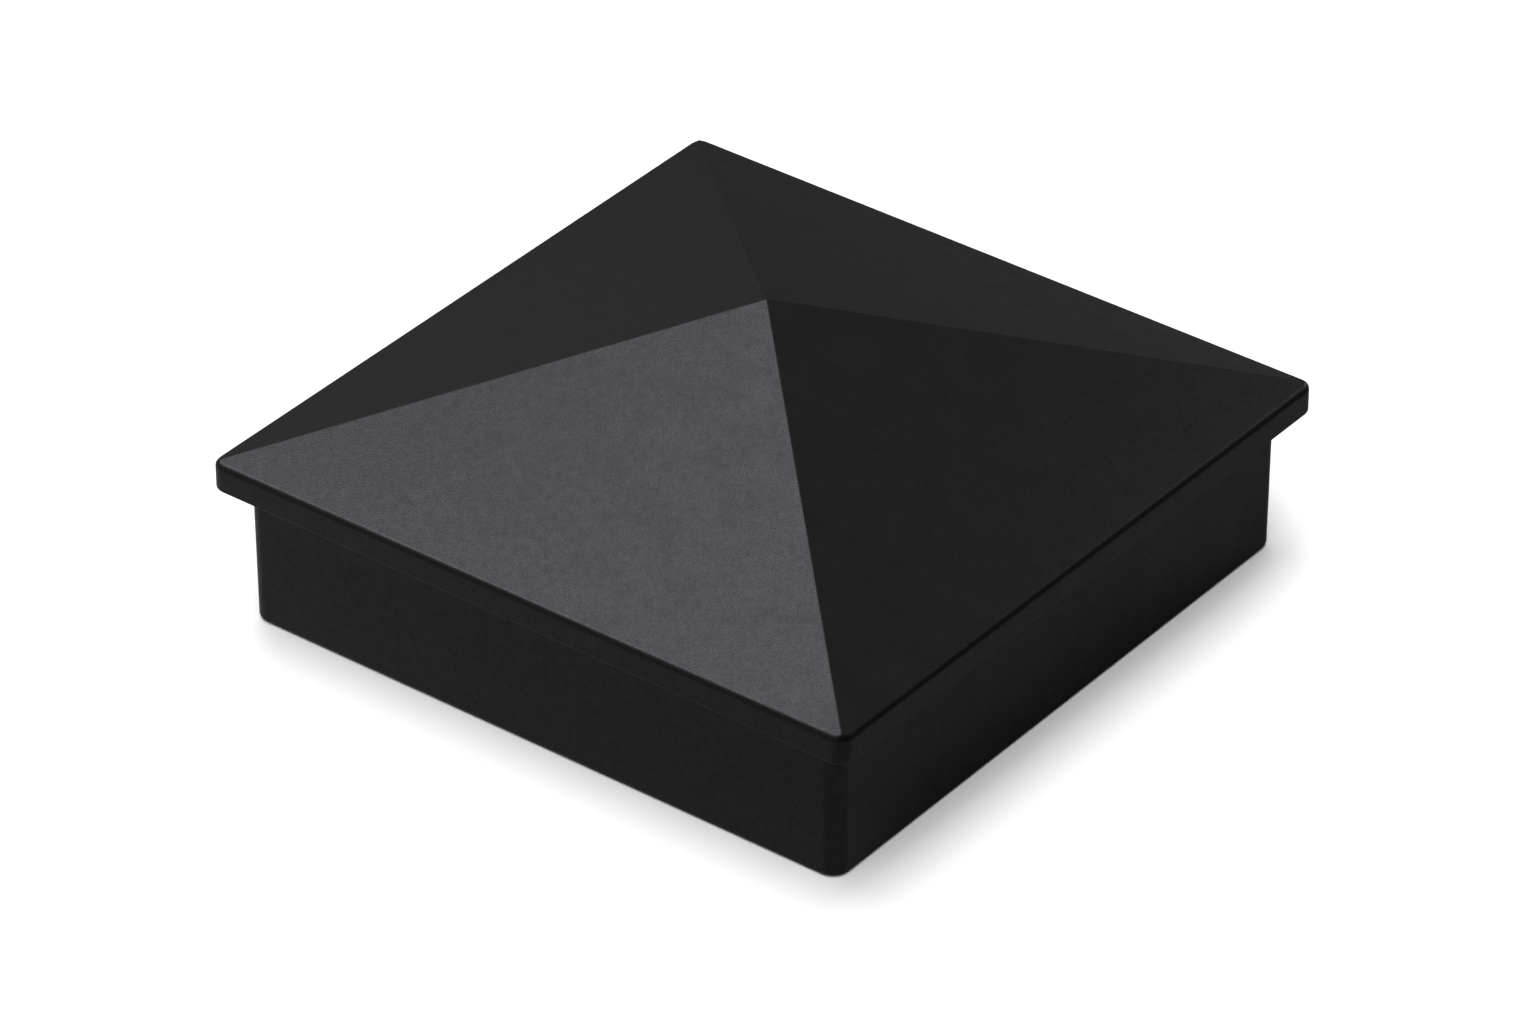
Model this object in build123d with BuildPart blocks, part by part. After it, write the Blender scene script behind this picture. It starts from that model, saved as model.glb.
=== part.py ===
from build123d import *
import math
import os

# Cast aluminium cap for the top of a square timber post, made in one piece: a
# skirt that slips down over the post, a square brim that overhangs the skirt,
# and a low roof with four faces. Underneath, it is hollow up into the roof, with
# walls of even thickness that open towards the mouth as a casting's must.
# Millimetres and degrees. The origin is the centre of the skirt's foot, +Z up.

# The post, and the skirt that slips over it
post_width = 88.9
post_clearance = 0.9
skirt_wall = 2.3
skirt_height = 20.6
skirt_corner_radius = 2.4
skirt_draft = 0.25

# The brim, and the roof that rises from it
brim_overhang = 3.2
brim_corner_radius = 2.0
fascia_height = 3.9
roof_rise = 18.8
roof_thickness = 2.6

# The hollow, which is tightest on the post where the roof begins
hollow_corner_radius = 1.4
hollow_draft = 0.5

# Rounded edges, outside and then inside
hip_radius = 0.6
eave_radius = 1.05
brim_lower_radius = 0.3
brim_root_radius = 0.4
foot_outer_radius = 0.8
foot_inner_radius = 0.4
hollow_edge_radius = 1.5

# Sizes and heights that follow from those above
socket_width = post_width + 2 * post_clearance
skirt_width = socket_width + 2 * skirt_wall
brim_width = skirt_width + 2 * brim_overhang
eave_height = skirt_height + fascia_height
apex_height = eave_height + roof_rise
roof_slope = math.atan2(roof_rise, brim_width / 2)
hollow_apex_height = apex_height - roof_thickness / math.cos(roof_slope)
hollow_eave_height = hollow_apex_height - socket_width / 2 * math.tan(roof_slope)
mouth_width = socket_width + 2 * hollow_eave_height * math.tan(math.radians(hollow_draft))


def gable(plane, width, floor, apex):
    """The roof's outline from one side: upright below its eaves, sloping above.

    Args:
        plane: upright plane through the cap's axis, which the outline lies on.
        width: distance between the upright sides.
        floor: height of the outline's foot.
        apex: height of its peak.
    """
    eave = apex - width / 2 * math.tan(roof_slope)
    with BuildSketch(plane) as outline:
        with BuildLine():
            Polyline(
                (-width / 2, floor),
                (width / 2, floor),
                (width / 2, eave),
                (0, apex),
                (-width / 2, eave),
                close=True,
            )
        make_face()
    return outline.sketch


# The space inside the cap: a drafted square socket under a smaller roof. Two
# crossed gables leave four faces, and every edge is eased for the casting.
with BuildPart() as hollow:
    with BuildSketch():
        RectangleRounded(mouth_width, mouth_width, hollow_corner_radius)
    extrude(amount=hollow_apex_height, taper=hollow_draft)
    for side in (Plane.XZ, Plane.YZ):
        extrude(
            gable(side, mouth_width, 0, hollow_apex_height),
            amount=mouth_width,
            both=True,
            mode=Mode.INTERSECT,
        )
    hips = hollow.edges().group_by(Axis.Z)[-1]
    fillet(hips, hollow_edge_radius)
    eaves = hollow.edges().filter_by_position(
        Axis.Z, hollow_eave_height - hollow_edge_radius, hollow_eave_height + hollow_corner_radius
    )
    fillet(eaves, hollow_edge_radius)

with BuildPart() as post_cap:
    # The brim and the roof, as one block cut by the same two crossed gables
    with BuildSketch(Plane.XY.offset(skirt_height)):
        RectangleRounded(brim_width, brim_width, brim_corner_radius)
    extrude(amount=apex_height - skirt_height)
    for side in (Plane.XZ, Plane.YZ):
        extrude(
            gable(side, brim_width, skirt_height, apex_height),
            amount=brim_width,
            both=True,
            mode=Mode.INTERSECT,
        )

    # The hips run out into the rounded corners, so they are eased before the
    # eaves, which then go round the whole brim as one smooth chain
    hips = post_cap.edges().group_by(Axis.Z)[-1]
    fillet(hips, hip_radius)
    eaves = post_cap.edges().filter_by_position(
        Axis.Z, eave_height - eave_radius, eave_height + brim_corner_radius
    )
    fillet(eaves, eave_radius)
    brim_lower_edge = post_cap.edges().group_by(Axis.Z)[0]
    fillet(brim_lower_edge, brim_lower_radius)

    # The skirt hangs from the brim and narrows a little to its foot
    with BuildSketch(Plane.XY.offset(skirt_height)):
        RectangleRounded(skirt_width, skirt_width, skirt_corner_radius)
    extrude(amount=-skirt_height, taper=skirt_draft)
    brim_underside = post_cap.faces().filter_by(Axis.Z).sort_by(Axis.Z)[-1]
    fillet(brim_underside.inner_wires()[0].edges(), brim_root_radius)

    # The hollow opens at the foot, whose rim is rounded on both sides
    add(hollow.part, mode=Mode.SUBTRACT)
    foot_rim = post_cap.faces().sort_by(Axis.Z)[0]
    fillet(foot_rim.outer_wire().edges(), foot_outer_radius)
    foot_rim = post_cap.faces().sort_by(Axis.Z)[0]
    fillet(foot_rim.inner_wires()[0].edges(), foot_inner_radius)

post_cap.part.label = "post_cap"
os.makedirs("parts", exist_ok=True)
export_step(post_cap.part, "parts/post_cap.step")
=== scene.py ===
"""A powder-coated cast aluminium post cap, standing on a pale floor under soft studio light."""

import logging
import math
from contextlib import contextmanager
from dataclasses import dataclass
from enum import Enum
from functools import partial
from typing import Callable, Iterator

import bmesh
import bpy
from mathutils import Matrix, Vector


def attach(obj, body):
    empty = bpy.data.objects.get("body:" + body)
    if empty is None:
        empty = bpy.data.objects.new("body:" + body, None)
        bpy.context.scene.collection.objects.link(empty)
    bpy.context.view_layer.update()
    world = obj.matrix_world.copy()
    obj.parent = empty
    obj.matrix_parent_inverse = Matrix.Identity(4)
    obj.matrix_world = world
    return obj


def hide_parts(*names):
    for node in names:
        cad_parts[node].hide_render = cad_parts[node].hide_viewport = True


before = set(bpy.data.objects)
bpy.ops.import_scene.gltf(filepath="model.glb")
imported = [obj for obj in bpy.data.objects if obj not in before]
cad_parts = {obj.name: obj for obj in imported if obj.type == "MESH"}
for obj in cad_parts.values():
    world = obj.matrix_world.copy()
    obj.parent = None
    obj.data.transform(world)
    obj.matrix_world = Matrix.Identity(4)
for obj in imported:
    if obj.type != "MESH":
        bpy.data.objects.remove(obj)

log = logging.getLogger("post_cap")

MM = 0.001
RIGHT_ANGLE = math.pi / 2
CAD_NODE = "post_cap"
BODY = "root"

# Points that lie closer together than this are one point
MERGE_DISTANCE = 0.001 * MM
# How far an edge may be from the height that it is looked for at
HEIGHT_TOLERANCE = 0.1 * MM
# How much a face's normal may lean from the one that it is looked for with
LEAN_TOLERANCE = 0.01

# Facets across a rounded edge, and the bevel profile that lays them on a circle
ROUNDING_FACETS = 6
ROUND_PROFILE = 0.5
# Faces that meet at a smaller angle than this are shaded as one skin
SMOOTH_ANGLE = math.radians(50)
# How far a large face's normal counts for more than a small one's, where 50 is even
LARGE_FACE_WEIGHT = 100

EdgeTest = Callable[[bmesh.types.BMEdge], bool]
FaceTest = Callable[[bmesh.types.BMFace], bool]


class Element(Enum):
    """The two kinds of mesh element that are picked, each with its collection's name."""

    EDGE = "edges"
    FACE = "faces"


class Facing(Enum):
    """Which way a face of the casting looks, told by the lowest and highest z of its normal."""

    ROOF = (0.5, 1.01)
    WALL = (-0.3, 0.3)
    UNDERSIDE = (-1.01, -0.9)

    def holds(self, face: bmesh.types.BMFace) -> bool:
        """True if the face looks this way."""
        low, high = self.value
        return low <= face.normal.z <= high


def deselect_all() -> None:
    """Leaves object mode's selection empty, so that an operator acts on nothing else."""
    bpy.ops.object.select_all(action="DESELECT")


def make_active(obj: bpy.types.Object) -> None:
    """Selects one object alone and makes it the active one.

    Args:
        obj: the object that the next operators act on.
    """
    deselect_all()
    obj.select_set(True)
    bpy.context.view_layer.objects.active = obj


@contextmanager
def editing(obj: bpy.types.Object) -> Iterator[None]:
    """Opens one object's mesh in edit mode with nothing selected, and closes it after.

    Args:
        obj: the object to edit.
    """
    make_active(obj)
    bpy.ops.object.mode_set(mode="EDIT")
    bpy.ops.mesh.select_all(action="DESELECT")
    yield
    bpy.ops.object.mode_set(mode="OBJECT")


def pick(obj: bpy.types.Object, kind: Element, wanted: EdgeTest | FaceTest) -> int:
    """Selects the edges or the faces that pass a test, and nothing else.

    Args:
        obj: the object in edit mode.
        kind: whether edges or faces are picked.
        wanted: says whether an element is to be selected.

    Returns:
        How many elements are selected.
    """
    bpy.ops.mesh.select_mode(type=kind.name)
    bpy.ops.mesh.select_all(action="DESELECT")
    mesh = bmesh.from_edit_mesh(obj.data)
    chosen = [element for element in getattr(mesh, kind.value) if wanted(element)]
    for element in chosen:
        element.select_set(True)
    bmesh.update_edit_mesh(obj.data)
    return len(chosen)


def at_height(edge: bmesh.types.BMEdge, height: float) -> bool:
    """True if both ends of the edge lie at the height."""
    return all(abs(vert.co.z - height) < HEIGHT_TOLERANCE for vert in edge.verts)


def between(edge: bmesh.types.BMEdge, one: Facing, other: Facing) -> bool:
    """Tells whether an edge's two faces look the two ways given, in either order.

    Args:
        edge: the edge.
        one: the way that one of its faces looks.
        other: the way that the other one looks.

    Returns:
        True if they do, and False if they don't or the edge hasn't two faces.
    """
    if len(edge.link_faces) != 2:
        return False
    first, second = edge.link_faces
    return (one.holds(first) and other.holds(second)) or (other.holds(first) and one.holds(second))


def under(edge: bmesh.types.BMEdge, height: float) -> bool:
    """True if the edge lies at the height, between a wall and an underside."""
    return at_height(edge, height) and between(edge, Facing.WALL, Facing.UNDERSIDE)


def outward(edge: bmesh.types.BMEdge) -> bool:
    """True if the edge's wall looks away from the post's axis."""
    wall = next(face for face in edge.link_faces if Facing.WALL.holds(face))
    return wall.normal.dot(wall.calc_center_median()) > 0


def round_off(radius: float, turn: float) -> None:
    """Rounds the selected edges.

    Args:
        radius: radius of the rounding.
        turn: angle in radians between the two faces' normals.
    """
    bpy.ops.mesh.bevel(
        offset_type="OFFSET",
        offset=radius * math.tan(turn / 2),
        segments=ROUNDING_FACETS,
        profile=ROUND_PROFILE,
        affect="EDGES",
    )


@dataclass
class RoundedBlock:
    """A square block about the post's axis with rounded upright corners, which may taper."""

    name: str
    foot_width: float
    top_width: float
    corner_radius: float
    foot: float
    top: float

    def build(self) -> bpy.types.Object:
        """Adds the block and rounds its corners.

        Returns:
            The new object, at the origin.
        """
        deselect_all()
        bpy.ops.mesh.primitive_cube_add(
            size=1,
            location=(0, 0, (self.foot + self.top) / 2),
            scale=(self.foot_width, self.foot_width, self.top - self.foot),
        )
        block = bpy.context.object
        block.name = self.name
        bpy.ops.object.transform_apply(location=True, rotation=True, scale=True)
        with editing(block):
            pick(block, Element.FACE, Facing.ROOF.holds)
            ratio = self.top_width / self.foot_width
            bpy.ops.transform.resize(value=(ratio, ratio, 1), center_override=(0, 0, self.top))
            pick(block, Element.EDGE, partial(between, one=Facing.WALL, other=Facing.WALL))
            round_off(self.corner_radius, RIGHT_ANGLE)
        return block


@dataclass
class HippedShell:
    """A square block cut to a roof of four faces that meet at a peak, rounded, open at its foot."""

    block: RoundedBlock
    peak: float
    slope: float
    hip_radius: float
    eave_radius: float

    def build(self) -> bpy.types.Object:
        """Cuts the roof, rounds its eaves and hips, and opens the foot.

        Returns:
            The shell, with its faces looking outwards.
        """
        shell = self.block.build()
        run, rise = math.sin(self.slope), math.cos(self.slope)
        with editing(shell):
            for across, along in ((1, 0), (0, 1), (-1, 0), (0, -1)):
                bpy.ops.mesh.select_all(action="SELECT")
                bpy.ops.mesh.bisect(
                    plane_co=(0, 0, self.peak),
                    plane_no=(across * run, along * run, rise),
                    use_fill=True,
                    clear_outer=True,
                )
            bpy.ops.mesh.select_all(action="SELECT")
            bpy.ops.mesh.remove_doubles(threshold=MERGE_DISTANCE)
            pick(shell, Element.EDGE, partial(between, one=Facing.ROOF, other=Facing.WALL))
            round_off(self.eave_radius, RIGHT_ANGLE - self.slope)
            pick(shell, Element.EDGE, self.is_hip)
            # The cosine between the normals of two neighbouring slopes is rise squared
            round_off(self.hip_radius, math.acos(rise**2))
            bpy.ops.mesh.select_all(action="SELECT")
            bpy.ops.mesh.remove_doubles(threshold=MERGE_DISTANCE)
            pick(shell, Element.FACE, Facing.UNDERSIDE.holds)
            bpy.ops.mesh.delete(type="ONLY_FACE")
        return shell

    def is_hip(self, edge: bmesh.types.BMEdge) -> bool:
        """Tells whether an edge is a hip of the roof.

        Args:
            edge: the edge.

        Returns:
            True if it lies between two faces that slope as the roof does, each its own way.
        """
        if len(edge.link_faces) != 2:
            return False
        upright = math.cos(self.slope)
        both_slope = all(abs(face.normal.z - upright) < LEAN_TOLERANCE for face in edge.link_faces)
        return both_slope and edge.calc_face_angle() > LEAN_TOLERANCE


@dataclass(frozen=True)
class PowderCoat:
    """Black powder coat, baked to a satin skin.

    A fine grain stands proud of the skin. Together with a soft mottle it also breaks up the
    gloss, and the roughness drifts in broad clouds. Gloss and roughness are given as the
    lowest and the highest value.
    """

    name: str = "black_powder_coat"
    colour: tuple[float, float, float, float] = (0.0175, 0.0174, 0.018, 1.0)
    roughness: tuple[float, float] = (0.36, 0.415)
    gloss: tuple[float, float] = (0.155, 0.345)
    grain_size: float = 0.19 * MM
    grain_height: float = 0.024 * MM
    mottle_size: float = 1.1 * MM
    mottle_share: float = 0.3
    cloud_size: float = 4.5 * MM
    noise_detail: float = 1.0
    noise_range: tuple[float, float] = (0.25, 0.75)

    def material(self) -> bpy.types.Material:
        """Builds the coat's material.

        Returns:
            The material, which reads Object coordinates alone.
        """
        coat = bpy.data.materials.new(self.name)
        coat.use_nodes = True
        tree = coat.node_tree
        shader = tree.nodes["Principled BSDF"]
        shader.inputs["Base Color"].default_value = self.colour
        gloss = shader.inputs["Specular IOR Level"]
        # The export drops the link to the gloss and keeps this, its middle value
        gloss.default_value = sum(self.gloss) / 2
        place = tree.nodes.new("ShaderNodeTexCoord").outputs["Object"]
        grain = self.noise(tree, place, self.grain_size)
        mottle = self.noise(tree, place, self.mottle_size)
        cloud = self.noise(tree, place, self.cloud_size)
        blend = tree.nodes.new("ShaderNodeMix")
        blend.inputs["Factor"].default_value = self.mottle_share
        tree.links.new(grain, blend.inputs["A"])
        tree.links.new(mottle, blend.inputs["B"])
        self.spread(tree, blend.outputs["Result"], self.gloss, gloss)
        self.spread(tree, cloud, self.roughness, shader.inputs["Roughness"])
        relief = tree.nodes.new("ShaderNodeBump")
        relief.inputs["Distance"].default_value = self.grain_height
        tree.links.new(grain, relief.inputs["Height"])
        tree.links.new(relief.outputs["Normal"], shader.inputs["Normal"])
        return coat

    def noise(
        self, tree: bpy.types.NodeTree, place: bpy.types.NodeSocket, size: float
    ) -> bpy.types.NodeSocket:
        """Adds a noise to the coat.

        Args:
            tree: the coat's nodes.
            place: the coordinates that the noise is laid out on.
            size: about how large its spots are.

        Returns:
            The noise's value.
        """
        texture = tree.nodes.new("ShaderNodeTexNoise")
        texture.inputs["Scale"].default_value = 1 / size
        texture.inputs["Detail"].default_value = self.noise_detail
        tree.links.new(place, texture.inputs["Vector"])
        return texture.outputs["Fac"]

    def spread(
        self,
        tree: bpy.types.NodeTree,
        value: bpy.types.NodeSocket,
        ends: tuple[float, float],
        target: bpy.types.NodeSocket,
    ) -> None:
        """Spreads a noise between two ends and feeds it to a socket.

        Args:
            tree: the coat's nodes.
            value: the noise's value, nearly all of which lies in noise_range.
            ends: what the two ends of noise_range become.
            target: the shader's socket that takes the result.
        """
        scale = tree.nodes.new("ShaderNodeMapRange")
        scale.inputs["From Min"].default_value, scale.inputs["From Max"].default_value = self.noise_range
        scale.inputs["To Min"].default_value, scale.inputs["To Max"].default_value = ends
        tree.links.new(value, scale.inputs["Value"])
        tree.links.new(scale.outputs["Result"], target)


@dataclass
class PostCap:
    """The whole casting: brim and roof, the skirt below them, and the hollow inside."""

    name: str = "cap_casting"
    post_width: float = 88.9 * MM
    post_clearance: float = 0.9 * MM
    skirt_wall: float = 2.3 * MM
    skirt_height: float = 20.6 * MM
    skirt_corner_radius: float = 2.4 * MM
    skirt_draft: float = math.radians(0.25)
    brim_overhang: float = 3.2 * MM
    brim_corner_radius: float = 2.0 * MM
    fascia_height: float = 3.9 * MM
    roof_rise: float = 18.8 * MM
    roof_thickness: float = 2.6 * MM
    hollow_corner_radius: float = 1.4 * MM
    hollow_draft: float = math.radians(0.5)
    hip_radius: float = 0.6 * MM
    eave_radius: float = 1.05 * MM
    brim_lower_radius: float = 0.3 * MM
    brim_root_radius: float = 0.4 * MM
    foot_outer_radius: float = 0.8 * MM
    foot_inner_radius: float = 0.4 * MM
    hollow_edge_radius: float = 1.5 * MM

    def __post_init__(self) -> None:
        """Works out the sizes that follow from the ones given."""
        self.socket_width = self.post_width + 2 * self.post_clearance
        self.skirt_width = self.socket_width + 2 * self.skirt_wall
        self.brim_width = self.skirt_width + 2 * self.brim_overhang
        self.peak = self.skirt_height + self.fascia_height + self.roof_rise
        self.slope = math.atan2(self.roof_rise, self.brim_width / 2)
        self.hollow_peak = self.peak - self.roof_thickness / math.cos(self.slope)

    def roof(self) -> bpy.types.Object:
        """Builds the brim and the roof, open below.

        Returns:
            The shell.
        """
        width = self.brim_width
        block = RoundedBlock(
            name="brim_and_roof",
            foot_width=width,
            top_width=width,
            corner_radius=self.brim_corner_radius,
            foot=self.skirt_height,
            top=self.peak,
        )
        return HippedShell(block, self.peak, self.slope, self.hip_radius, self.eave_radius).build()

    def hollow(self) -> bpy.types.Object:
        """Builds the walls of the socket and the roof's underside, open at the mouth.

        Returns:
            The shell, with its faces looking into the hollow.
        """
        eave = self.hollow_peak - self.socket_width / 2 * math.tan(self.slope)
        widening = 2 * math.tan(self.hollow_draft)
        block = RoundedBlock(
            name="hollow",
            foot_width=self.socket_width + eave * widening,
            top_width=self.socket_width - (self.hollow_peak - eave) * widening,
            corner_radius=self.hollow_corner_radius,
            foot=0,
            top=self.hollow_peak,
        )
        edge_radius = self.hollow_edge_radius
        shell = HippedShell(block, self.hollow_peak, self.slope, edge_radius, edge_radius).build()
        with editing(shell):
            bpy.ops.mesh.select_all(action="SELECT")
            bpy.ops.mesh.flip_normals()
        return shell

    def skirt(self) -> bpy.types.Object:
        """Builds the skirt's outer wall, open above and below.

        Returns:
            The shell.
        """
        narrowing = 2 * self.skirt_height * math.tan(self.skirt_draft)
        wall = RoundedBlock(
            name="skirt",
            foot_width=self.skirt_width - narrowing,
            top_width=self.skirt_width,
            corner_radius=self.skirt_corner_radius,
            foot=0,
            top=self.skirt_height,
        ).build()
        with editing(wall):
            pick(wall, Element.FACE, lambda face: not Facing.WALL.holds(face))
            bpy.ops.mesh.delete(type="ONLY_FACE")
        return wall

    def build(self) -> bpy.types.Object:
        """Joins the three shells into one closed casting and rounds its lower edges.

        Returns:
            The finished casting, at the origin.
        """
        shells = [self.roof(), self.skirt(), self.hollow()]
        deselect_all()
        for shell in shells:
            shell.select_set(True)
        casting = shells[0]
        bpy.context.view_layer.objects.active = casting
        bpy.ops.object.join()
        casting.name = casting.data.name = self.name
        with editing(casting):
            for height in (self.skirt_height, 0):
                pick(casting, Element.EDGE, lambda edge: edge.is_boundary and at_height(edge, height))
                bpy.ops.mesh.bridge_edge_loops()
            self.round_lower_edges(casting)
        make_active(casting)
        bpy.ops.object.shade_smooth_by_angle(angle=SMOOTH_ANGLE)
        bpy.ops.object.modifier_add(type="WEIGHTED_NORMAL")
        shading = casting.modifiers[-1]
        shading.weight = LARGE_FACE_WEIGHT
        shading.keep_sharp = True
        bpy.ops.object.modifier_apply(modifier=shading.name)
        return casting

    def round_lower_edges(self, casting: bpy.types.Object) -> None:
        """Rounds the brim's lower edge, its root on the skirt, and both edges of the foot.

        Args:
            casting: the closed casting in edit mode.
        """
        brim, foot = self.skirt_height, 0
        roundings = (
            (self.brim_lower_radius, lambda edge: under(edge, brim) and edge.is_convex),
            (self.brim_root_radius, lambda edge: under(edge, brim) and not edge.is_convex),
            (self.foot_outer_radius, lambda edge: under(edge, foot) and outward(edge)),
            (self.foot_inner_radius, lambda edge: under(edge, foot) and not outward(edge)),
        )
        for radius, wanted in roundings:
            count = pick(casting, Element.EDGE, wanted)
            log.info("rounding %d edges to %.2f mm", count, radius / MM)
            round_off(radius, RIGHT_ANGLE)

    def declare(self, casting: bpy.types.Object, coat: PowderCoat) -> None:
        """Dresses the casting and puts it in the CAD solid's place.

        Args:
            casting: the finished casting.
            coat: its finish.
        """
        casting.data.materials.append(coat.material())
        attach(casting, BODY)
        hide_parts(CAD_NODE)


class Shown(Enum):
    """What a sheet of paper shows up in."""

    PICTURE = "picture"
    REFLECTIONS = "reflections"


@dataclass(frozen=True)
class StudioPaper:
    """A wide sheet of pale matt paper under the cap.

    In the picture the paper is burnt out to plain white. The cap's dark skin reflects it
    at its natural strength, so a second sheet just below the first is lit for that alone.
    """

    name: str
    shown: Shown
    width: float
    depth: float = 0.0
    colour: tuple[float, float, float, float] = (0.86, 0.86, 0.86, 1.0)
    roughness: float = 0.9

    def material(self) -> bpy.types.Material:
        """Builds the paper's material.

        Returns:
            The material.
        """
        paper = bpy.data.materials.new(self.name)
        paper.use_nodes = True
        shader = paper.node_tree.nodes["Principled BSDF"]
        shader.inputs["Base Color"].default_value = self.colour
        shader.inputs["Roughness"].default_value = self.roughness
        shader.inputs["Specular IOR Level"].default_value = 0.0
        return paper

    def build(self) -> bpy.types.Object:
        """Lays the sheet under the cap.

        Returns:
            The sheet's object.
        """
        deselect_all()
        bpy.ops.mesh.primitive_plane_add(size=self.width, location=(0, 0, -self.depth))
        sheet = bpy.context.object
        sheet.name = self.name
        sheet.data.materials.append(self.material())
        # The upper sheet is seen by the camera alone, and keeps no light off the lower one
        in_picture = self.shown is Shown.PICTURE
        sheet.visible_camera = in_picture
        sheet.visible_glossy = not in_picture
        sheet.visible_diffuse = not in_picture
        sheet.visible_shadow = not in_picture
        return sheet


@dataclass
class SoftBox:
    """A square soft light that faces the cap, with its direction given in degrees."""

    name: str
    azimuth: float
    elevation: float
    distance: float
    width: float
    radiance: float
    tint: tuple[float, float, float] = (1.0, 1.0, 1.0)

    def build(self, lit: bpy.types.Object) -> bpy.types.Object:
        """Adds the light and keeps it off everything but one object.

        Args:
            lit: the only object that the light falls on.

        Returns:
            The light's object.
        """
        lamp = bpy.data.lights.new(self.name, "AREA")
        lamp.shape = "SQUARE"
        lamp.size = self.width
        lamp.energy = self.radiance * math.pi * self.width**2
        lamp.color = self.tint
        box = bpy.data.objects.new(self.name, lamp)
        bpy.context.scene.collection.objects.link(box)
        turn, rise = math.radians(self.azimuth), math.radians(self.elevation)
        way = Vector((math.cos(turn) * math.cos(rise), math.sin(turn) * math.cos(rise), math.sin(rise)))
        box.location = way * self.distance
        box.rotation_euler = way.to_track_quat("Z", "Y").to_euler()
        group = bpy.data.collections.new(f"{self.name}_falls_on")
        group.objects.link(lit)
        box.light_linking.receiver_collection = group
        return box


@dataclass(frozen=True)
class Room:
    """The dark room round the paper, which is plain white only where the camera looks past it."""

    name: str = "studio_room"

    def build(self) -> None:
        """Builds the room's light and makes it the scene's own."""
        world = bpy.data.worlds.new(self.name)
        bpy.context.scene.world = world
        world.use_nodes = True
        nodes, links = world.node_tree.nodes, world.node_tree.links
        glow = nodes["Background"]
        glow.inputs["Color"].default_value = (1.0, 1.0, 1.0, 1.0)
        ray = nodes.new("ShaderNodeLightPath")
        links.new(ray.outputs["Is Camera Ray"], glow.inputs["Strength"])


@dataclass
class Studio:
    """The paper, the soft lights over it and over the cap, and the room round them."""

    cap_tint: tuple[float, float, float] = (0.99, 0.98, 1.04)

    def build(self, casting: bpy.types.Object) -> None:
        """Builds the paper, the lights and the room.

        Args:
            casting: the cap that the cap's lights fall on.
        """
        white_paper = StudioPaper("studio_paper", Shown.PICTURE, width=1.6).build()
        dim_paper = StudioPaper("reflected_paper", Shown.REFLECTIONS, width=12.0, depth=0.1 * MM).build()
        # What each light falls on, and its name, azimuth, elevation, distance, width and radiance
        lights = (
            (casting, SoftBox("left_key_light", 215, 66, 0.7, 0.14, 21.3, self.cap_tint)),
            (casting, SoftBox("back_key_light", 155, 66, 0.7, 0.14, 20.8, self.cap_tint)),
            (casting, SoftBox("low_key_light", 200, 50, 0.45, 0.12, 12.8, self.cap_tint)),
            (casting, SoftBox("right_back_light", 75, 25, 0.5, 0.15, 4.25, self.cap_tint)),
            (casting, SoftBox("left_back_light", 145, 25, 0.5, 0.15, 0.35, self.cap_tint)),
            (dim_paper, SoftBox("dim_paper_left_front_light", 270, 45, 1.0, 0.3, 4.95)),
            (dim_paper, SoftBox("dim_paper_front_light", 300, 45, 1.0, 0.3, 3.54)),
            (dim_paper, SoftBox("dim_paper_near_front_light", 270, 55, 0.25, 0.1, 1.62)),
            (dim_paper, SoftBox("dim_paper_near_left_light", 210, 35, 0.25, 0.1, 3.64)),
            (dim_paper, SoftBox("dim_paper_near_back_light", 90, 35, 0.25, 0.1, 1.93)),
            (white_paper, SoftBox("paper_top_light", 270, 80, 3.0, 2.6, 1.65)),
            (white_paper, SoftBox("paper_left_light", 180, 80, 3.0, 1.6, 6.04)),
            (white_paper, SoftBox("paper_front_light", 300, 50, 3.0, 2.6, 3.48)),
            (white_paper, SoftBox("paper_back_light", 120, 50, 3.0, 2.6, 1.66)),
        )
        for lit, light in lights:
            light.build(lit)
        Room().build()
        bpy.context.scene.view_settings.view_transform = "Standard"


@dataclass
class PhotoCamera:
    """The photograph's view: a long lens that looks down on the cap's near corner."""

    azimuth: float = math.radians(37.558)
    elevation: float = math.radians(33.753)
    distance: float = 1015.98 * MM
    target: tuple[float, float, float] = (-0.234 * MM, 0.653 * MM, 10.17 * MM)
    lens: float = 183.233
    sensor: float = 36.0

    def build(self) -> None:
        """Adds the camera and makes it the scene's own."""
        data = bpy.data.cameras.new("photo_camera")
        data.lens = self.lens
        data.sensor_width = self.sensor
        camera = bpy.data.objects.new("photo_camera", data)
        bpy.context.scene.collection.objects.link(camera)
        back = Vector((
            math.sin(self.azimuth) * math.cos(self.elevation),
            -math.cos(self.azimuth) * math.cos(self.elevation),
            math.sin(self.elevation),
        ))
        camera.location = Vector(self.target) + back * self.distance
        camera.rotation_euler = back.to_track_quat("Z", "Y").to_euler()
        bpy.context.scene.camera = camera


def main() -> None:
    """Builds the cap, the studio and the camera, in that order."""
    logging.basicConfig(level=logging.INFO, format="%(message)s")
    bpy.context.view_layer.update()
    cap = PostCap()
    casting = cap.build()
    cap.declare(casting, PowderCoat())
    log.info("%s: %d faces", casting.name, len(casting.data.polygons))
    Studio().build(casting)
    log.info("studio: paper, lights and room")
    PhotoCamera().build()
    log.info("camera: in place")


if __name__ == "__main__":
    main()
